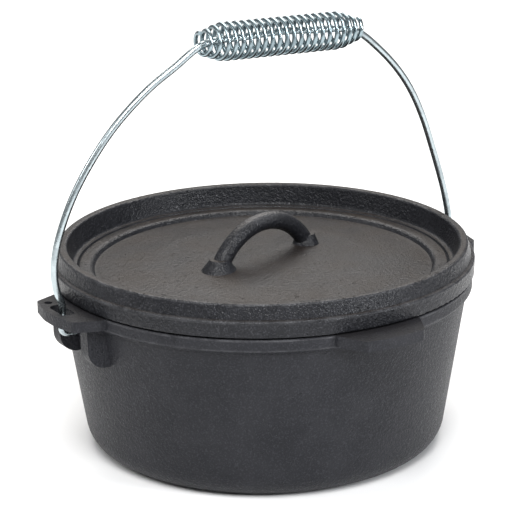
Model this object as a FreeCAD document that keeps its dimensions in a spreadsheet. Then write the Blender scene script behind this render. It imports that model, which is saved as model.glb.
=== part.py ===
import FreeCAD, Part
import math
import os
import Sketcher

# Dutch oven: pot casting, lid casting, wire bail and coil-spring grip. Sizes in millimetres,
# +Z up, origin at the middle of the pot's flat base, X through the two bail ears.

os.makedirs("parts", exist_ok=True)
doc = FreeCAD.newDocument("DutchOven")
sheet = doc.addObject("Spreadsheet::Sheet", "Sizes")
V = FreeCAD.Vector

# name, value, the size it is measured outwards from if any, meaning
rows = [
    ("potHeight", 108.5, "", "base to rim plane"),
    ("rimOuter", 130.0, "", "outer radius of the rim band"),
    ("wallTop", -1.7, "rimOuter", "outer wall cone carried up to the rim plane"),
    ("wallBase", -19.2, "rimOuter", "outer wall cone carried down to the base plane"),
    ("wallThick", 5.0, "", "wall"),
    ("floorThick", 5.5, "", "floor"),
    ("cornerOuter", 17.3, "", "rounding between wall and base"),
    ("bandDeep", 10.5, "", "height of the rim band with its sloped underside"),
    ("bandFlat", 7.5, "", "upright part of the rim band"),
    ("earReach", 19.4, "rimOuter", "ear tip"),
    ("earThick", 6.7, "", "ears and side tabs"),
    ("earRootHalf", 29.5, "", "half width at the wall"),
    ("earTipHalf", 23.5, "", "half width at the tip"),
    ("earShoulder", 15.8, "rimOuter", "where the tip starts to round off"),
    ("tabReach", 18.2, "rimOuter", "side tab tip"),
    ("tabRootHalf", 29.0, "", "side tab half width at the wall"),
    ("tabTipHalf", 20.0, "", "side tab half width at the tip"),
    ("tabShoulder", 16.4, "rimOuter", "side tab shoulder"),
    ("slotCentre", 10.6, "rimOuter", "middle of the bail slot"),
    ("slotHalf", 10.75, "", "half length of the slot"),
    ("slotWide", 8.6, "", "width of the slot"),
    ("pinHole", 5.0, "", "small round hole beside the slot"),
    ("pinAside", 17.0, "", "small hole to one side of the ear's middle"),
    ("pinCentre", 11.2, "rimOuter", "middle of the small hole"),
    ("ribThick", 9.0, "", "ribs under the ears"),
    ("ribAside", 18.1, "", "rib middle from the ear's middle"),
    ("ribReach", 6.2, "rimOuter", "outer face of the ribs"),
    ("ribDrop", 26.0, "", "rib height below the ear"),
    ("ribCurve", 12.0, "", "rounding of the ribs' lower outer corner"),
    ("lidOuter", 1.2, "rimOuter", "lower band of the lid"),
    ("lidBand", 10.8, "", "height of the lower band"),
    ("jointGap", 0.9, "", "shadow gap between the rim and the lid's flange"),
    ("jointDeep", -2.6, "rimOuter", "where the shadow gap starts"),
    ("lidRim", 20.5, "", "height of the lid's rim above the pot"),
    ("lidTopOuter", -3.1, "rimOuter", "outer edge of the rim's top"),
    ("lidTopInner", -8.3, "rimOuter", "inner edge of the rim's top"),
    ("lidShelf", 7.0, "", "shelf above the pot's rim plane"),
    ("shelfOuter", -11.2, "rimOuter", "foot of the rim's inside wall"),
    ("shelfInner", -14.1, "rimOuter", "inner edge of the shelf"),
    ("lidFloorEdge", -25.7, "rimOuter", "edge of the domed floor"),
    ("lidFloor", 3.8, "", "floor edge above the pot's rim plane"),
    ("lidCrown", 9.8, "", "middle of the dome above the pot's rim plane"),
    ("lidThick", 5.0, "", "lid plate"),
    ("lipOuter", -8.3, "rimOuter", "locating lip inside the pot's mouth"),
    ("lipInner", -12.4, "rimOuter", "inside of the locating lip"),
    ("lipDeep", 4.0, "", "lip below the rim plane"),
    ("loopTurn", 13.0, "", "turn of the lid's loop from the bail ears, degrees"),
    ("loopRadius", 43.0, "", "centreline of the lid loop"),
    ("loopTop", 31.4, "", "loop centreline above the pot's rim plane"),
    ("loopBar", 11.0, "", "bar of the loop"),
    ("loopSpan", 37.6, "", "loop foot from the lid's middle"),
    ("footWide", 9.8, "", "flare at the loop's right foot"),
    ("footBroad", 13.5, "", "broader flare at its left foot"),
    ("footTall", 10.0, "", "height of the flares"),
    ("bailWire", 4.5, "", "bail wire"),
    ("bailLean", 6.0, "", "bail at rest, degrees from upright"),
    ("hookDeep", 11.6, "", "hook below the swing axis"),
    ("hookBend", 3.5, "", "hook bend radius"),
    ("hookTip", 1.6, "rimOuter", "hook tip"),
    ("gripWire", 2.7, "", "coil wire"),
    ("gripOuter", 23.6, "", "coil outside across its full part"),
    ("gripEnd", 15.6, "", "coil outside across its end turns"),
    ("gripPitch", 5.08, "", "coil pitch"),
    ("gripTurns", 22.0, "", "turns"),
    ("gripTaper", 3.2, "", "turns in each taper"),
    ("gripMiddle", 3.6, "", "coil middle along X"),
    ("gripHigh", 155.6, "", "coil axis above the swing axis"),
    ("gripTilt", -2.4, "", "coil axis in the bail's plane, degrees"),
]
for line, (name, value, start, note) in enumerate(rows, start=1):
    sheet.set("A%d" % line, name)
    sheet.set("B%d" % line, repr(value))
    sheet.set("C%d" % line, start)
    sheet.set("D%d" % line, note)
    sheet.setAlias("B%d" % line, name)
doc.recompute()
size = {name: float(value) for name, value, start, note in rows}
from_rim = [name for name, value, start, note in rows if start]
for name in from_rim:
    size[name] += size["rimOuter"]


# A coordinate is a sum of terms such as "potHeight - 0.5*earThick"; "0" means on the axis.
def number(text):
    total = 0.0
    sign = 1.0
    for word in text.split():
        if word in ("+", "-"):
            sign = 1.0 if word == "+" else -1.0
            continue
        term = sign
        for factor in word.split("*"):
            term *= size[factor] if factor in size else float(factor)
        total += term
        sign = 1.0
    return total


# One factor of a sum for the expression engine; radii that follow the rim are added to it.
def cell(part):
    if part in from_rim:
        return "(Sizes.rimOuter + Sizes." + part + ")"
    return "Sizes." + part if part in size else part


# The same sum written for the expression engine.
def formula(text):
    return " ".join(" * ".join(cell(part) for part in word.split("*")) for word in text.split())


# A rule that ties one coordinate of a sketch point to its sum: along 0 is horizontal, 1 vertical.
def tie(item, end, text, along):
    if text == "0":
        axis = -2 if along == 0 else -1
        return (Sketcher.Constraint("PointOnObject", item, end, axis), None)
    kind = "DistanceX" if along == 0 else "DistanceY"
    amount = number(text)
    if amount > 0:
        return (Sketcher.Constraint(kind, -1, 1, item, end, amount), formula(text))
    rule = Sketcher.Constraint(kind, item, end, -1, 1, -amount)
    return (rule, "-1 * (" + formula(text) + ")")


# Adds all the rules of a sketch in one go, then their wordings.
def settle(sketch, rules):
    first = sketch.ConstraintCount
    sketch.addConstraint([rule for rule, wording in rules])
    for i, (rule, wording) in enumerate(rules):
        if wording:
            sketch.setExpression("Constraints[%d]" % (first + i), wording)
    doc.recompute()


def newSketch(body, label, plane, lift=None):
    sketch = body.newObject("Sketcher::SketchObject", label)
    for feature in body.Origin.OriginFeatures:
        if feature.Role == plane:
            sketch.AttachmentSupport = [(feature, "")]
    sketch.MapMode = "FlatFace"
    if lift:
        sketch.setExpression("AttachmentOffset.Base.z", formula(lift))
    doc.recompute()
    return sketch


# A closed outline of straight sides; a corner with a third entry is rounded to that radius.
def outline(sketch, corners):
    points = [V(number(c[0]), number(c[1]), 0) for c in corners]
    count = len(corners)
    starts = []
    ends = []
    for i in range(count):
        before = (points[i - 1] - points[i]).normalize()
        after = (points[(i + 1) % count] - points[i]).normalize()
        if len(corners[i]) > 2:
            half = before.getAngle(after) / 2
            reach = number(corners[i][2]) / math.tan(half)
            ends.append(points[i] + before * reach)
            starts.append(points[i] + after * reach)
        else:
            ends.append(points[i])
            starts.append(points[i])
    sides = []
    for i in range(count):
        sides.append(sketch.addGeometry(Part.LineSegment(starts[i], ends[(i + 1) % count]), False))
    rules = []
    for i in range(count):
        before = sides[i - 1]
        after = sides[i]
        if len(corners[i]) > 2:
            radius = number(corners[i][2])
            inward = ((ends[i] + starts[i]) * 0.5 - points[i]).normalize()
            half = (ends[i] - points[i]).getAngle(starts[i] - points[i]) / 2
            centre = points[i] + inward * (radius / math.sin(half))
            hollow = (ends[i] - points[i]).cross(starts[i] - points[i]).z > 0
            near, far = (starts[i], ends[i]) if hollow else (ends[i], starts[i])
            bend = sketch.addGeometry(Part.Arc(near, centre - inward * radius, far), False)
            first = 2 if hollow else 1
            mark = sketch.addGeometry(Part.Point(points[i]), True)
            rules.append((Sketcher.Constraint("Tangent", before, 2, bend, first), None))
            rules.append((Sketcher.Constraint("Tangent", after, 1, bend, 3 - first), None))
            rules.append((Sketcher.Constraint("Radius", bend, radius), formula(corners[i][2])))
            rules.append((Sketcher.Constraint("PointOnObject", mark, 1, before), None))
            rules.append((Sketcher.Constraint("PointOnObject", mark, 1, after), None))
            rules.append(tie(mark, 1, corners[i][0], 0))
            rules.append(tie(mark, 1, corners[i][1], 1))
        else:
            rules.append((Sketcher.Constraint("Coincident", before, 2, after, 1), None))
            rules.append(tie(after, 1, corners[i][0], 0))
            rules.append(tie(after, 1, corners[i][1], 1))
    settle(sketch, rules)


def revolve(body, label, sketch):
    turned = body.newObject("PartDesign::Revolution", label)
    turned.Profile = sketch
    turned.ReferenceAxis = (sketch, ["V_Axis"])
    turned.Angle = 360
    doc.recompute()
    return turned


# Pads upwards from the sketch plane, or evenly to both sides of it.
def pad(body, label, sketch, length, both=False):
    grown = body.newObject("PartDesign::Pad", label)
    grown.Profile = sketch
    grown.Midplane = both
    grown.setExpression("Length", formula(length))
    doc.recompute()
    return grown


# Rounds the full-circle edges at the given radii and heights.
def soften(body, label, radius, spots):
    base = body.Tip
    names = []
    for across, high in spots:
        for i, edge in enumerate(base.Shape.Edges, start=1):
            curve = edge.Curve
            if curve.TypeId != "Part::GeomCircle" or abs(curve.Radius - number(across)) > 0.01:
                continue
            if abs(curve.Center.z - number(high)) < 0.01:
                names.append("Edge%d" % i)
    if len(names) != len(spots):
        raise RuntimeError(label + " found %d edges" % len(names))
    rounding = body.newObject("PartDesign::Fillet", label)
    rounding.Base = (base, names)
    rounding.setExpression("Radius", radius)
    doc.recompute()


# Cuts downwards from the sketch plane and makes sure that metal was removed.
def cut(body, label, sketch, length):
    before = body.Shape.Volume
    pocket = body.newObject("PartDesign::Pocket", label)
    pocket.Profile = sketch
    pocket.Reversed = False
    pocket.setExpression("Length", formula(length))
    doc.recompute()
    if body.Shape.Volume > before - 1.0:
        raise RuntimeError(label + " removed nothing")
    return pocket


# Pot casting ------------------------------------------------------------------------------

pot = doc.addObject("PartDesign::Body", "pot_casting")
pot.Label = "pot_casting"
pot.Placement = FreeCAD.Placement(V(0, 0, 0), FreeCAD.Rotation())

side = newSketch(pot, "PotSection", "XZ_Plane")
outline(side, [
    ("0", "0"),
    ("wallBase", "0", "cornerOuter"),
    ("wallTop - 1.7", "potHeight - bandDeep"),
    ("rimOuter", "potHeight - bandFlat", "0.9"),
    ("rimOuter", "potHeight", "1.3"),
    ("wallTop - wallThick", "potHeight", "1.0"),
    ("wallBase - wallThick", "floorThick", "cornerOuter - 0.9*wallThick"),
    ("0", "floorThick"),
])
revolve(pot, "PotShell", side)

# The two ears that carry the bail reach out along X, the two side tabs along Y.
for name, sign in (("EarRight", ""), ("EarLeft", "-1*")):
    shape = newSketch(pot, name + "Plan", "XY_Plane", "potHeight - earThick")
    root = sign + "wallTop + " + sign + "-3.0"
    corners = [
        (root, "-1*earRootHalf"),
        (sign + "rimOuter + " + sign + "0.8", "-1*earRootHalf", "6.0"),
        (sign + "earShoulder", "-1*earTipHalf", "3.5"),
        (sign + "earReach", "-0.3*earTipHalf", "30.0"),
        (sign + "earReach", "0.3*earTipHalf", "30.0"),
        (sign + "earShoulder", "earTipHalf", "3.5"),
        (sign + "rimOuter + " + sign + "0.8", "earRootHalf", "6.0"),
        (root, "earRootHalf"),
    ]
    outline(shape, corners if not sign else corners[::-1])
    pad(pot, name, shape, "earThick")

for name, sign in (("TabBack", ""), ("TabFront", "-1*")):
    shape = newSketch(pot, name + "Plan", "XY_Plane", "potHeight - earThick")
    root = sign + "wallTop + " + sign + "-3.0"
    corners = [
        ("-1*tabRootHalf", root),
        ("-1*tabRootHalf", sign + "rimOuter + " + sign + "-1.0", "5.0"),
        ("-1*tabTipHalf", sign + "tabShoulder", "2.5"),
        ("-0.3*tabTipHalf", sign + "tabReach", "50.0"),
        ("0.3*tabTipHalf", sign + "tabReach", "50.0"),
        ("tabTipHalf", sign + "tabShoulder", "2.5"),
        ("tabRootHalf", sign + "rimOuter + " + sign + "-1.0", "5.0"),
        ("tabRootHalf", root),
    ]
    outline(shape, corners if sign else corners[::-1])
    pad(pot, name, shape, "earThick")

# Two ribs under each ear carry its load down to the wall.
for name, sign in (("RibsRight", ""), ("RibsLeft", "-1*")):
    for edge, away in (("Near", "-1*"), ("Far", "")):
        shape = newSketch(pot, name + edge + "Side", "XZ_Plane", away + "ribAside")
        corners = [
            (sign + "wallTop + " + sign + "-9.0", "potHeight - earThick - ribDrop"),
            (sign + "ribReach + " + sign + "-0.8", "potHeight - earThick - ribDrop", "ribCurve"),
            (sign + "ribReach", "potHeight - earThick + 0.5"),
            (sign + "wallTop + " + sign + "-5.8", "potHeight - earThick + 0.5"),
        ]
        outline(shape, corners if not sign else corners[::-1])
        pad(pot, name + edge, shape, "ribThick", True)

# A long slot for the bail and a small round hole beside it, in each ear.
for name, sign in (("Right", ""), ("Left", "-1*")):
    shape = newSketch(pot, "Slot" + name + "Plan", "XY_Plane", "potHeight")
    inner = sign + "slotCentre + " + sign + "-0.5*slotWide"
    outer = sign + "slotCentre + " + sign + "0.5*slotWide"
    corners = [
        (inner, "-1*slotHalf", "0.47*slotWide"),
        (outer, "-1*slotHalf", "0.47*slotWide"),
        (outer, "slotHalf", "0.47*slotWide"),
        (inner, "slotHalf", "0.47*slotWide"),
    ]
    outline(shape, corners if not sign else corners[::-1])
    cut(pot, "Slot" + name, shape, "earThick + 1.0")
    shape = newSketch(pot, "Pin" + name + "Plan", "XY_Plane", "potHeight")
    across = sign + "pinCentre"
    aside = "-1*pinAside" if not sign else "pinAside"
    ring = Part.Circle(V(number(across), number(aside), 0), V(0, 0, 1), size["pinHole"] / 2)
    hole = shape.addGeometry(ring, False)
    wide = Sketcher.Constraint("Diameter", hole, size["pinHole"])
    settle(shape, [tie(hole, 3, across, 0), tie(hole, 3, aside, 1), (wide, "Sizes.pinHole")])
    cut(pot, "Pin" + name, shape, "earThick + 1.0")

# Lid casting ------------------------------------------------------------------------------

lid = doc.addObject("PartDesign::Body", "lid_casting")
lid.Label = "lid_casting"
turned = FreeCAD.Rotation(V(0, 0, 1), size["loopTurn"])
lid.Placement = FreeCAD.Placement(V(0, 0, size["potHeight"]), turned)
lid.setExpression("Placement.Base.z", "Sizes.potHeight")
lid.setExpression("Placement.Rotation.Angle", "Sizes.loopTurn")

# The rim plane is the lid's zero height: the flange rests on it and the lip hangs below.
section = newSketch(lid, "LidSection", "XZ_Plane")
outline(section, [
    ("0", "lidCrown - lidThick"),
    ("0.3*lidFloorEdge", "0.95*lidCrown - lidThick"),
    ("0.65*lidFloorEdge", "0.78*lidCrown - lidThick"),
    ("lidFloorEdge - 4.0", "lidFloor - lidThick"),
    ("lipInner", "lidFloor - lidThick"),
    ("lipInner", "-1*lipDeep"),
    ("lipOuter", "-1*lipDeep"),
    ("lipOuter", "0"),
    ("jointDeep", "0"),
    ("jointDeep + 0.6", "jointGap"),
    ("lidOuter", "jointGap"),
    ("lidOuter + 0.3", "lidBand"),
    ("lidOuter - 1.9", "lidBand + 0.9"),
    ("lidTopOuter", "lidRim"),
    ("lidTopInner", "lidRim"),
    ("shelfOuter", "lidShelf + 0.2"),
    ("shelfInner", "lidShelf"),
    ("shelfInner - 0.6", "lidShelf - 1.1"),
    ("shelfInner - 1.8", "lidShelf - 0.2"),
    ("lidFloorEdge + 2.6", "lidShelf - 0.3"),
    ("lidFloorEdge + 0.6", "lidFloor + 0.2"),
    ("lidFloorEdge - 1.5", "lidFloor + 0.3"),
    ("0.65*lidFloorEdge", "0.78*lidCrown"),
    ("0.3*lidFloorEdge", "0.95*lidCrown"),
    ("0", "lidCrown"),
])
revolve(lid, "LidPlate", section)
soften(lid, "FlangeEdges", "1.2", [("lidOuter", "jointGap"), ("lidOuter + 0.3", "lidBand")])
soften(lid, "RimEdges", "1.6", [("lidTopOuter", "lidRim"), ("lidTopInner", "lidRim")])
soften(lid, "ShelfRoot", "2.0", [("shelfOuter", "lidShelf + 0.2")])
soften(lid, "LipEdges", "1.0", [("lipOuter", "-1*lipDeep"), ("lipInner", "-1*lipDeep")])
soften(lid, "BeadOuter", "0.8", [("shelfInner - 1.8", "lidShelf - 0.2")])
soften(lid, "BeadInner", "2.4", [("lidFloorEdge + 2.6", "lidShelf - 0.3")])

# The carrying loop is a round bar bent to an arc over the middle of the lid.
end = newSketch(lid, "LoopSection", "YZ_Plane")
ring = end.addGeometry(Part.Circle(V(0, size["loopTop"], 0), V(0, 0, 1), size["loopBar"] / 2), False)
low = size["loopTop"] - size["loopRadius"]
spine = end.addGeometry(Part.LineSegment(V(-20, low, 0), V(20, low, 0)), True)
settle(end, [
    tie(ring, 3, "0", 0),
    tie(ring, 3, "loopTop", 1),
    (Sketcher.Constraint("Diameter", ring, size["loopBar"]), "Sizes.loopBar"),
    (Sketcher.Constraint("Horizontal", spine), None),
    tie(spine, 1, "loopTop - loopRadius", 1),
    tie(spine, 1, "-20.0", 0),
    tie(spine, 2, "20.0", 0),
])
loop = lid.newObject("PartDesign::Revolution", "Loop")
loop.Profile = end
loop.ReferenceAxis = (end, ["Axis0"])
loop.Midplane = True
rise = "(Sizes.lidCrown - 3.3 - Sizes.loopTop + Sizes.loopRadius) / Sizes.loopRadius"
loop.setExpression("Angle", "2 * acos(" + rise + ")")
doc.recompute()
for name, sign, flare in (("FootRight", 1, "footWide"), ("FootLeft", -1, "footBroad")):
    foot = lid.newObject("PartDesign::AdditiveCone", name)
    foot.Radius1 = size[flare]
    foot.setExpression("Radius1", "Sizes." + flare)
    foot.setExpression("Radius2", "Sizes.loopBar / 2 + 0.2")
    foot.setExpression("Height", "Sizes.footTall")
    foot.setExpression("AttachmentOffset.Base.x", "%d * Sizes.loopSpan" % sign)
    foot.setExpression("AttachmentOffset.Base.z", "Sizes.lidCrown - 4.3")
    foot.AttachmentSupport = [(f, "") for f in lid.Origin.OriginFeatures if f.Role == "XY_Plane"]
    foot.MapMode = "FlatFace"
    doc.recompute()

# Bail -------------------------------------------------------------------------------------

# Both wire parts are drawn in the bail's own plane: X along the ears, Z up from the swing
# axis, which lies halfway down the ears. The plane then leans over at rest.
swing = size["potHeight"] - size["earThick"] / 2
lean = FreeCAD.Placement(V(0, 0, swing), FreeCAD.Rotation(V(1, 0, 0), size["bailLean"]))


# Sweeps a round wire along joined edges.
def wireSolid(edges, radius, coiled=False):
    spine = Part.Wire(edges)
    start = edges[0]
    origin = start.valueAt(start.FirstParameter)
    along = start.tangentAt(start.FirstParameter)
    ring = Part.Wire([Part.makeCircle(radius, origin, along)])
    return spine.makePipeShell([ring], True, coiled)


# Smooth curve through points with its first and last direction given.
def smooth(points, first, last):
    curve = Part.BSplineCurve()
    curve.interpolate(Points=points, InitialTangent=first, FinalTangent=last)
    return curve.toShape()


slot = size["slotCentre"]
deep = size["hookDeep"]
bend = size["hookBend"]
tip = size["hookTip"]
chop = bend * (1 - math.sqrt(0.5))


# Hook below one ear: a straight tip under the ear, a bend, and the upright through the slot.
def hook(sign):
    a = V(sign * tip, 0, -deep)
    b = V(sign * (slot - bend), 0, -deep)
    c = V(sign * (slot - chop), 0, -deep + chop)
    d = V(sign * slot, 0, -deep + bend)
    e = V(sign * slot, 0, 4.6)
    return [Part.makeLine(a, b), Part.Arc(b, c, d).toShape(), Part.makeLine(d, e)]


tilt = math.radians(size["gripTilt"])
rightward = V(math.cos(tilt), 0, math.sin(tilt))
upward = V(-math.sin(tilt), 0, math.cos(tilt))
middle = V(size["gripMiddle"], 0, size["gripHigh"])
length = size["gripTurns"] * size["gripPitch"]
sink = 1.9


# A point of the wire near the coil: distance along the coil's axis and height off it.
def inCoil(along, off):
    return middle + rightward * along + upward * off


leftLeg = [(142.9, 12.5), (145.6, 22.0), (146.3, 31.0), (145.2, 43.0), (142.0, 55.5), (137.8, 67.3),
           (131.6, 80.5), (122.8, 95.0), (110.0, 112.0), (96.9, 125.2), (80.0, 138.5), (65.5, 147.6)]
rightLeg = [(140.4, 13.0), (138.6, 22.0), (135.4, 33.0), (131.2, 45.0), (126.6, 57.0), (121.8, 69.0),
            (116.9, 81.0), (111.3, 93.0), (104.2, 105.8), (94.9, 119.0), (83.8, 131.3), (71.5, 142.6)]
width = slot / 140.6
rise = size["gripHigh"] / 155.6
run = [V(-slot, 0, 4.6)]
run += [V(-x * width, 0, z * rise) for x, z in leftLeg]
run += [inCoil(-0.5 * length, -sink), inCoil(-0.25 * length, 1.6), inCoil(0, 2.8)]
run += [inCoil(0.25 * length, 1.6), inCoil(0.5 * length, -sink)]
run += [V(x * width, 0, z * rise) for x, z in reversed(rightLeg)]
run += [V(slot, 0, 4.6)]
arch = smooth(run, V(0, 0, 1), V(0, 0, -1))
other = [edge.reversed() for edge in reversed(hook(1))]
bailShape = wireSolid(hook(-1) + [arch] + other, size["bailWire"] / 2)
bail = doc.addObject("Part::Feature", "bail_wire")
bail.Label = "bail_wire"
bail.Shape = bailShape
bail.Placement = lean

# Coil grip --------------------------------------------------------------------------------

# Full size along the middle, closing in smoothly over the last turns at both ends.
coilRadius = size["gripWire"] / 2
perTurn = 10
steps = int(round(size["gripTurns"] * perTurn))
points = []
for i in range(steps + 1):
    turn = i / perTurn
    near = min(turn, size["gripTurns"] - turn) / size["gripTaper"]
    near = max(0.0, min(1.0, near))
    swell = near * near * (3 - 2 * near)
    across = size["gripEnd"] / 2 - coilRadius + (size["gripOuter"] - size["gripEnd"]) / 2 * swell
    angle = 2 * math.pi * turn
    ring = upward * (across * math.cos(angle)) + V(0, 1, 0) * (across * math.sin(angle))
    points.append(inCoil(turn * size["gripPitch"] - 0.5 * length, 0) + ring)
curve = Part.BSplineCurve()
curve.interpolate(points)
grip = doc.addObject("Part::Feature", "coil_grip")
grip.Label = "coil_grip"
grip.Shape = wireSolid([curve.toShape()], coilRadius, True)
grip.Placement = lean

for wirePart in (bail, grip):
    wirePart.setExpression("Placement.Base.z", "Sizes.potHeight - Sizes.earThick / 2")
    wirePart.setExpression("Placement.Rotation.Angle", "Sizes.bailLean")

doc.recompute()
for item in doc.Objects:
    if "Invalid" in item.State or "Error" in item.State:
        raise RuntimeError(item.Label + " is in state " + " ".join(item.State))
for item in (pot, lid, bail, grip):
    if not item.Shape.isValid() or len(item.Shape.Solids) != 1:
        raise RuntimeError(item.Label + " is not one valid solid")
    item.Shape.exportStep("parts/" + item.Label + ".step")
    box = item.Shape.BoundBox
    print(item.Label, round(item.Shape.Volume / 1000, 1), "cm3", [round(v, 1) for v in (
        box.XMin, box.XMax, box.YMin, box.YMax, box.ZMin, box.ZMax)])
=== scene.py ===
import math

import bpy
import numpy as np
from mathutils import Matrix, Vector


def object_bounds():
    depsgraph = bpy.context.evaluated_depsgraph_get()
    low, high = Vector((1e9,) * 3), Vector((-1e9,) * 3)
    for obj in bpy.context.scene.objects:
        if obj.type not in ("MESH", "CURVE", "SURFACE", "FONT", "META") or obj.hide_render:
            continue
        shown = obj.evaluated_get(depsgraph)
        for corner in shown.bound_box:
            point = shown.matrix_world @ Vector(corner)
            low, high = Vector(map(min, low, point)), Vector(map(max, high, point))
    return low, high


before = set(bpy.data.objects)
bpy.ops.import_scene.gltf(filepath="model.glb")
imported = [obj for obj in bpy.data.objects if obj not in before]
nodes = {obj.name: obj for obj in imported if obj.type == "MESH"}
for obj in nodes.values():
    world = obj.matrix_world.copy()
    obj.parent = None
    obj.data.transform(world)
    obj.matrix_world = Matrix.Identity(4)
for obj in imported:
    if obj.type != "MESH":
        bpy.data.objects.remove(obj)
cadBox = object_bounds()
print("frame loaded:", ", ".join(sorted(nodes)))


# a value from another node is linked to the socket, any other becomes the socket's own value
def feed(tree, socket, value):
    if isinstance(value, bpy.types.NodeSocket):
        tree.links.new(value, socket)
    else:
        socket.default_value = value


# adds one shader node, sets its options and feeds its inputs, named or numbered
def put(tree, kind, inputs=None, **options):
    node = tree.nodes.new("ShaderNode" + kind)
    for name, value in options.items():
        setattr(node, name, value)
    for socket, value in (inputs or {}).items():
        feed(tree, node.inputs[socket], value)
    return node


# one Math node: the output of operation(first, second, third)
def sums(tree, operation, *values):
    return put(tree, "Math", dict(enumerate(values)), operation=operation).outputs[0]


# length of the diagonal over two sides
def diagonal(tree, *sides):
    squares = [sums(tree, "MULTIPLY", side, side) for side in sides]
    return sums(tree, "SQRT", sums(tree, "ADD", *squares))


# value carried from the range low..high to start..end, eased at both ends
def ease(tree, value, low, high, start=0.0, end=1.0):
    inputs = {"Value": value, "From Min": low, "From Max": high, "To Min": start, "To Max": end}
    return put(tree, "MapRange", inputs, interpolation_type="SMOOTHSTEP").outputs[0]


# colour mixed from first to second by share, where each colour is a node's output or a tuple
def blendColour(tree, share, first, second):
    factor, start, end = 0, 6, 7
    mixed = put(tree, "Mix", {factor: share}, data_type="RGBA")
    for socket, colour in ((start, first), (end, second)):
        feed(tree, mixed.inputs[socket], (*colour, 1) if isinstance(colour, tuple) else colour)
    return mixed.outputs[2]


# cloudy noise with its largest features about size metres across
def noise(tree, place, size, detail, roughness=.5):
    scale = sums(tree, "DIVIDE", 1.0, size)
    inputs = {"Vector": place, "Scale": scale, "Detail": detail, "Roughness": roughness}
    return put(tree, "TexNoise", inputs).outputs["Fac"]


# random cells about size metres across
def cells(tree, place, size):
    scale = sums(tree, "DIVIDE", 1.0, size)
    inputs = {"Vector": place, "Scale": scale, "Randomness": 1.0}
    return put(tree, "TexVoronoi", inputs).outputs


# an empty node group with its inputs (name, kind, starting value) and its number outputs
def newGroup(name, takes, gives):
    tree = bpy.data.node_groups.new(name, "ShaderNodeTree")
    for label, kind, start in takes:
        kind = "NodeSocket" + kind
        socket = tree.interface.new_socket(label, in_out="INPUT", socket_type=kind)
        if start is not None:
            socket.default_value = start
    for label in gives:
        tree.interface.new_socket(label, in_out="OUTPUT", socket_type="NodeSocketFloat")
    return (tree, tree.nodes.new("NodeGroupInput").outputs,
            tree.nodes.new("NodeGroupOutput").inputs)


# places a shared group in a material with that material's own values
def useGroup(tree, group, inputs):
    node = tree.nodes.new("ShaderNodeGroup")
    node.node_tree = group
    for socket, value in inputs.items():
        feed(tree, node.inputs[socket], value)
    return node.outputs


# a material with its node tree and its Principled shader
def newMaterial(name):
    material = bpy.data.materials.new(name)
    material.use_nodes = True
    return material, material.node_tree, material.node_tree.nodes["Principled BSDF"]


# relief of that depth in metres, by bump
def carve(tree, shader, height, depth):
    bump = put(tree, "Bump", {"Height": height, "Distance": depth, "Strength": 1.0})
    tree.links.new(bump.outputs[0], shader.inputs["Normal"])


sandCast = {
    "coarseGrains": 2.2, "coarseDetail": 2.0, "coarseShare": .75,
    "fineDetail": 1.0, "fineShare": .45, "paintedGlintRange": (.54, .66),
    "pitRange": (.06, .26), "pitChance": (.5, .62), "pitShare": -.8,
    "patchSize": .028, "patchDetail": 3.0, "patchRoughness": .6,
}


# sand-cast skin: Height is rounded sand grain and a finer tooth less scattered pits,
# the Glint output marks the few grains that get painted highlight specks, Patch is the slow
# change from place to place
def sandSkinGroup(cast):
    takes = [("Place", "Vector", None), ("Grain", "Float", .001), ("Pit", "Float", .004)]
    tree, ins, outs = newGroup("sandSkin", takes, ["Height", "PaintedGlint", "Patch"])
    place = ins["Place"]
    coarseSize = sums(tree, "MULTIPLY", ins["Grain"], cast["coarseGrains"])
    coarse = noise(tree, place, coarseSize, cast["coarseDetail"])
    fine = noise(tree, place, ins["Grain"], cast["fineDetail"])
    fromPit = cells(tree, place, ins["Pit"])["Distance"]
    pits = ease(tree, fromPit, *cast["pitRange"], 1.0, 0.0)
    rarePits = sums(tree, "MULTIPLY", pits, ease(tree, coarse, *cast["pitChance"]))
    bulk = sums(tree, "MULTIPLY", coarse, cast["coarseShare"])
    tooth = sums(tree, "MULTIPLY_ADD", fine, cast["fineShare"], bulk)
    height = sums(tree, "MULTIPLY_ADD", rarePits, cast["pitShare"], tooth)
    patch = noise(tree, place, cast["patchSize"], cast["patchDetail"], cast["patchRoughness"])
    tree.links.new(height, outs["Height"])
    # painted highlight: grains in this range of the fine noise are the ones painted lighter as
    # sparkle
    tree.links.new(ease(tree, fine, *cast["paintedGlintRange"]), outs["PaintedGlint"])
    tree.links.new(patch, outs["Patch"])
    return tree


rubbing = {"detail": 4.0, "roughness": .65, "gapRange": (.36, .62), "leastLeft": .15}


# rubbed edge of a turned form: Mask is 1 on the circle of that radius and height and eases
# to 0 at width, broken up so that the rubbing comes and goes along the edge
def rubbedRingGroup(rub):
    takes = [("Place", "Vector", None), ("Radius", "Float", .1), ("Height", "Float", .1),
             ("Width", "Float", .002), ("Breaks", "Float", .012)]
    tree, ins, outs = newGroup("rubbedRing", takes, ["Mask"])
    axes = put(tree, "SeparateXYZ", {0: ins["Place"]}).outputs
    out = sums(tree, "SUBTRACT", diagonal(tree, axes[0], axes[1]), ins["Radius"])
    up = sums(tree, "SUBTRACT", axes[2], ins["Height"])
    near = ease(tree, diagonal(tree, out, up), 0.0, ins["Width"], 1.0, 0.0)
    clouds = noise(tree, ins["Place"], ins["Breaks"], rub["detail"], rub["roughness"])
    broken = ease(tree, clouds, *rub["gapRange"], rub["leastLeft"], 1.0)
    tree.links.new(sums(tree, "MULTIPLY", near, broken), outs["Mask"])
    return tree


settling = {
    "detail": 5.0, "roughness": .62, "thinRange": (.3, .7), "leastLeft": .45,
    "levelRange": (.82, .98),
}


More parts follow.
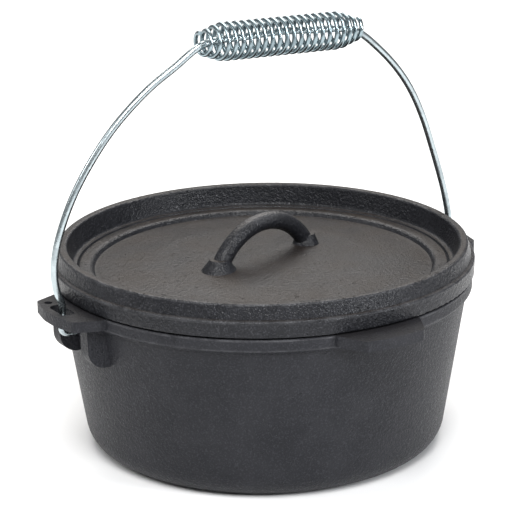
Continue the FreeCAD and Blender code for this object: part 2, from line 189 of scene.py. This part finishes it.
# what settles on flats: Mask is 1 where the surface faces up, thinned by a cloudy noise
def settledGroup(settle):
    takes = [("Place", "Vector", None), ("Facing", "Vector", None), ("Cloud", "Float", .03)]
    tree, ins, outs = newGroup("settled", takes, ["Mask"])
    up = put(tree, "SeparateXYZ", {0: ins["Facing"]}).outputs[2]
    clouds = noise(tree, ins["Place"], ins["Cloud"], settle["detail"], settle["roughness"])
    thin = ease(tree, clouds, *settle["thinRange"], settle["leastLeft"], 1.0)
    level = ease(tree, up, *settle["levelRange"])
    tree.links.new(sums(tree, "MULTIPLY", level, thin), outs["Mask"])
    return tree


galvanising = {
    "lineDetail": 2.0, "tarnishScale": 55.0, "tarnishDetail": 4.0, "tarnishRoughness": .6,
    "tarnishRange": (.45, .72),
}


# zinc plate: Spangle is the patchwork of crystals, Drawn the fine lines of the wire,
# Dull the tarnish
def zincSkinGroup(zinc):
    takes = [("Place", "Vector", None), ("Spangle", "Float", .003), ("Drawn", "Float", .0006)]
    tree, ins, outs = newGroup("zincSkin", takes, ["Spangle", "Drawn", "Dull"])
    crystals = cells(tree, ins["Place"], ins["Spangle"])["Color"]
    tone = put(tree, "SeparateColor", {0: crystals}).outputs[0]
    tarnish = put(tree, "TexNoise", {
        "Vector": ins["Place"], "Scale": zinc["tarnishScale"],
        "Detail": zinc["tarnishDetail"], "Roughness": zinc["tarnishRoughness"],
    }).outputs["Fac"]
    lines = noise(tree, ins["Place"], ins["Drawn"], zinc["lineDetail"])
    tree.links.new(tone, outs["Spangle"])
    tree.links.new(lines, outs["Drawn"])
    tree.links.new(ease(tree, tarnish, *zinc["tarnishRange"]), outs["Dull"])
    return tree


sandSkin = sandSkinGroup(sandCast)
rubbedRing = rubbedRingGroup(rubbing)
settled = settledGroup(settling)
zincSkin = zincSkinGroup(galvanising)
print("shared effects ready")

# how grain, flats and wear change the iron and how strongly the painted highlight specks show,
# the same on the pot and the lid
ironChange = {
    "patchRange": (.35, .68), "paintedGlintOnFlats": -.75, "paintedGlintShare": .5,
    "patchRough": .16, "paintedGlintRough": -.16, "flatRough": .10, "wornAndSheenRough": -.12,
    "wornAndSheenMetal": .8,
}

potIron = {
    "skin": (.0125, .0130, .0160), "patch": (.0185, .0190, .0225),
    # the speck colour for painted highlights on single grains
    "seasoned": (.016, .0135, .0125), "bareAndSheen": (.16, .16, .17), "paintedGlint": (.038, .039, .046),
    "grain": .0010, "pit": .0050, "depth": .00070,
    "roughness": .50, "shine": .20, "settle": .45,
    "rings": [  # radius, height, width, strength of each rubbed edge
        (.1300, .1075, .0012, .30), (.1299, .1010, .0013, .22), (.1030, .0015, .0050, .20),
    ],
}

lidIron = {
    "skin": (.0085, .0090, .0110), "patch": (.0130, .0135, .0160),
    # the speck colour for painted highlights on single grains
    "seasoned": (.020, .0140, .0100), "bareAndSheen": (.20, .20, .21), "paintedGlint": (.050, .051, .058),
    "grain": .0010, "pit": .0045, "depth": .00080,
    "roughness": .34, "shine": .22, "settle": .85,
    "rings": [
        (.1305, .1190, .0020, .26), (.1265, .1287, .0018, .20), (.1222, .1288, .0014, .14),
        (.1080, .1151, .0026, .12), (.1170, .1156, .0018, .12),
    ],
    # on the grip top the light metal colour is partly hand polish and partly a painted
    # highlight
    "gripHeight": (.139, .146), "gripPolishAndSheen": .45,
}


# 0 on untouched iron, up to the strength of each rubbed edge, and along the top of a grip
# where the values have one, there partly hand polish and partly a painted highlight
def wearAndSheenMask(tree, place, patch, tune):
    wornAndSheen = 0.0
    for radius, height, width, strength in tune["rings"]:
        inputs = {"Place": place, "Radius": radius, "Height": height, "Width": width}
        ring = useGroup(tree, rubbedRing, inputs)["Mask"]
        wornAndSheen = sums(tree, "MAXIMUM", wornAndSheen, sums(tree, "MULTIPLY", ring, strength))
    if "gripHeight" in tune:
        tall = put(tree, "SeparateXYZ", {0: place}).outputs[2]
        # painted highlight along the top of the grip, partly hand polish: a lighter metal
        # colour chosen by height alone
        heldPolishAndSheen = ease(tree, tall, *tune["gripHeight"], 0.0, tune["gripPolishAndSheen"])
        wornAndSheen = sums(tree, "MAXIMUM", wornAndSheen, sums(tree, "MULTIPLY", heldPolishAndSheen, patch))
    return wornAndSheen


# cast iron: dark skin with slow patches, browner where seasoning pooled on flats,
# painted highlight specks on single grains, light metal along the rubbed edges, and a grip top
# that is partly hand polish and partly a painted highlight
def ironMaterial(name, tune, change):
    material, tree, shader = newMaterial(name)
    shader.inputs["Specular IOR Level"].default_value = tune["shine"]
    where = put(tree, "TexCoord").outputs
    place = where["Object"]
    grains = {"Place": place, "Grain": tune["grain"], "Pit": tune["pit"]}
    skin = useGroup(tree, sandSkin, grains)
    flat = useGroup(tree, settled, {"Place": place, "Facing": where["Normal"]})["Mask"]
    wornAndSheen = wearAndSheenMask(tree, place, skin["Patch"], tune)
    kept = sums(tree, "MULTIPLY_ADD", flat, change["paintedGlintOnFlats"], 1.0)
    paintedGlint = sums(tree, "MULTIPLY", skin["PaintedGlint"], kept)
    patched = ease(tree, skin["Patch"], *change["patchRange"])
    seasoned = sums(tree, "MULTIPLY", flat, tune["settle"])
    # painted highlight: lighter specks mixed into the colour on the chosen grains, fewer on
    # flats
    paintedGlintAmount = sums(tree, "MULTIPLY", paintedGlint, change["paintedGlintShare"])
    colour = blendColour(tree, patched, tune["skin"], tune["patch"])
    colour = blendColour(tree, seasoned, colour, tune["seasoned"])
    colour = blendColour(tree, paintedGlintAmount, colour, tune["paintedGlint"])
    # light metal colour on the rubbed edges, and on the grip top partly a painted highlight
    colour = blendColour(tree, wornAndSheen, colour, tune["bareAndSheen"])
    tree.links.new(colour, shader.inputs["Base Color"])
    rough = tune["roughness"] - change["patchRough"] / 2  # the patches swing it both ways
    for mask, amount in ((skin["Patch"], "patchRough"), (paintedGlint, "paintedGlintRough"),
                         (flat, "flatRough"), (wornAndSheen, "wornAndSheenRough")):
        rough = sums(tree, "MULTIPLY_ADD", mask, change[amount], rough)
    tree.links.new(rough, shader.inputs["Roughness"])
    metal = sums(tree, "MULTIPLY", wornAndSheen, change["wornAndSheenMetal"])
    tree.links.new(metal, shader.inputs["Metallic"])
    carve(tree, shader, skin["Height"], tune["depth"])
    return material


# how crystals and tarnish change the zinc, the same on the wire and the coil
zincChange = {
    "spangleDull": .3, "tarnishDull": .6, "spangleRough": .06, "tarnishRough": .16,
    "spangleRelief": .4,
}

bailZinc = {
    "clean": (.52, .59, .61), "dull": (.27, .31, .33),
    "roughness": .20, "depth": .00004, "spangle": .0034, "drawn": .0006,
}

coilZinc = {
    "clean": (.34, .42, .45), "dull": (.15, .19, .21),
    "roughness": .19, "depth": .00004, "spangle": .0026, "drawn": .0005,
}


# zinc plate: bright blue-white metal with crystal patches, faint draw lines and dull spots
def zincMaterial(name, tune, change):
    material, tree, shader = newMaterial(name)
    shader.inputs["Metallic"].default_value = 1.0
    place = put(tree, "TexCoord").outputs["Object"]
    crystals = {"Place": place, "Spangle": tune["spangle"], "Drawn": tune["drawn"]}
    zinc = useGroup(tree, zincSkin, crystals)
    tarnish = sums(tree, "MULTIPLY", zinc["Dull"], change["tarnishDull"])
    dull = sums(tree, "MULTIPLY_ADD", zinc["Spangle"], change["spangleDull"], tarnish)
    colour = blendColour(tree, dull, tune["clean"], tune["dull"])
    tree.links.new(colour, shader.inputs["Base Color"])
    rough = tune["roughness"]
    rough = sums(tree, "MULTIPLY_ADD", zinc["Dull"], change["tarnishRough"], rough)
    rough = sums(tree, "MULTIPLY_ADD", zinc["Spangle"], change["spangleRough"], rough)
    tree.links.new(rough, shader.inputs["Roughness"])
    relief = sums(tree, "MULTIPLY_ADD", zinc["Spangle"], change["spangleRelief"], zinc["Drawn"])
    carve(tree, shader, relief, tune["depth"])
    return material


finishes = {
    "pot_casting": ironMaterial("potCastIron", potIron, ironChange),
    "lid_casting": ironMaterial("lidCastIron", lidIron, ironChange),
    "bail_wire": zincMaterial("zincWire", bailZinc, zincChange),
    "coil_grip": zincMaterial("zincCoil", coilZinc, zincChange),
}
for nodeName, finish in finishes.items():
    for slot in nodes[nodeName].material_slots:
        slot.material = finish
print("finishes on:", ", ".join(finishes))

studio = {
    "floorReach": 6.0, "floorSteps": 8, "floorColour": (.86, .86, .86), "floorRoughness": .9,
    "air": (.95, .97, 1.0), "airStrength": .25,
    "lights": {  # place, aim, side length, power, tint
        "topPanel": ((.55, .90, 1.45), (0, 0, .1), 1.5, 31, (1.0, .98, .95)),
        "leftPanel": ((-1.45, .55, 1.05), (0, 0, .1), .6, 7, (1.0, .99, .98)),
        "rightPanel": ((.75, -1.45, .70), (0, 0, .1), .4, 15, (.95, .97, 1.0)),
        "frontFill": ((-.9, -1.4, 2.0), (0, 0, .1), 1.4, 72, (1.0, 1.0, 1.0)),
    },
}


# a flat square grid at height, from -reach to reach both ways
def floorSheet(reach, height, steps):
    line = np.linspace(-reach, reach, steps)
    across, along = np.meshgrid(line, line, indexing="ij")
    points = np.stack([across, along, np.full_like(across, height)], axis=-1).reshape(-1, 3)
    first = (np.arange(steps - 1)[:, None] * steps + np.arange(steps - 1)).ravel()
    faces = np.stack([first, first + steps, first + steps + 1, first + 1], axis=-1)
    mesh = bpy.data.meshes.new("studioFloor")
    mesh.from_pydata(points.tolist(), [], faces.tolist())
    sheet = bpy.data.objects.new("studioFloor", mesh)
    bpy.context.scene.collection.objects.link(sheet)
    return sheet


floor = floorSheet(studio["floorReach"], cadBox[0][2], studio["floorSteps"])
pale, _, paleShader = newMaterial("paleFloor")
paleShader.inputs["Base Color"].default_value = (*studio["floorColour"], 1)
paleShader.inputs["Roughness"].default_value = studio["floorRoughness"]
floor.data.materials.append(pale)

world = bpy.data.worlds.new("studioAir")
world.use_nodes = True
air = world.node_tree.nodes["Background"].inputs
air["Color"].default_value = (*studio["air"], 1)
air["Strength"].default_value = studio["airStrength"]
bpy.context.scene.world = world
bpy.context.scene.view_settings.view_transform = "Standard"
for lampName, (place, aim, side, power, tint) in studio["lights"].items():
    lamp = bpy.data.lights.new(lampName, "AREA")
    lamp.size = side
    lamp.energy = power
    lamp.color = tint
    holder = bpy.data.objects.new(lampName, lamp)
    holder.location = place
    toward = Vector(aim) - Vector(place)
    holder.rotation_euler = toward.to_track_quat("-Z", "Y").to_euler()
    bpy.context.scene.collection.objects.link(holder)
print("studio lit with", len(studio["lights"]), "soft panels")

camera = {
    "place": (-.7522, -1.2372, .5807), "aim": (-.0059, 0, .1192),
    "lens": 172.28, "sensor": 36, "tilt": -.765,  # millimetres, millimetres, degrees
}
viewer = bpy.data.objects.new("viewer", bpy.data.cameras.new("viewer"))
viewer.data.lens = camera["lens"]
viewer.data.sensor_width = camera["sensor"]
sight = Vector(camera["aim"]) - Vector(camera["place"])
roll = Matrix.Rotation(math.radians(camera["tilt"]), 4, "Z")
turn = sight.to_track_quat("-Z", "Y").to_matrix().to_4x4() @ roll
viewer.matrix_world = Matrix.Translation(camera["place"]) @ turn
bpy.context.scene.collection.objects.link(viewer)
bpy.context.scene.camera = viewer
print("camera placed")

bpy.context.view_layer.update()
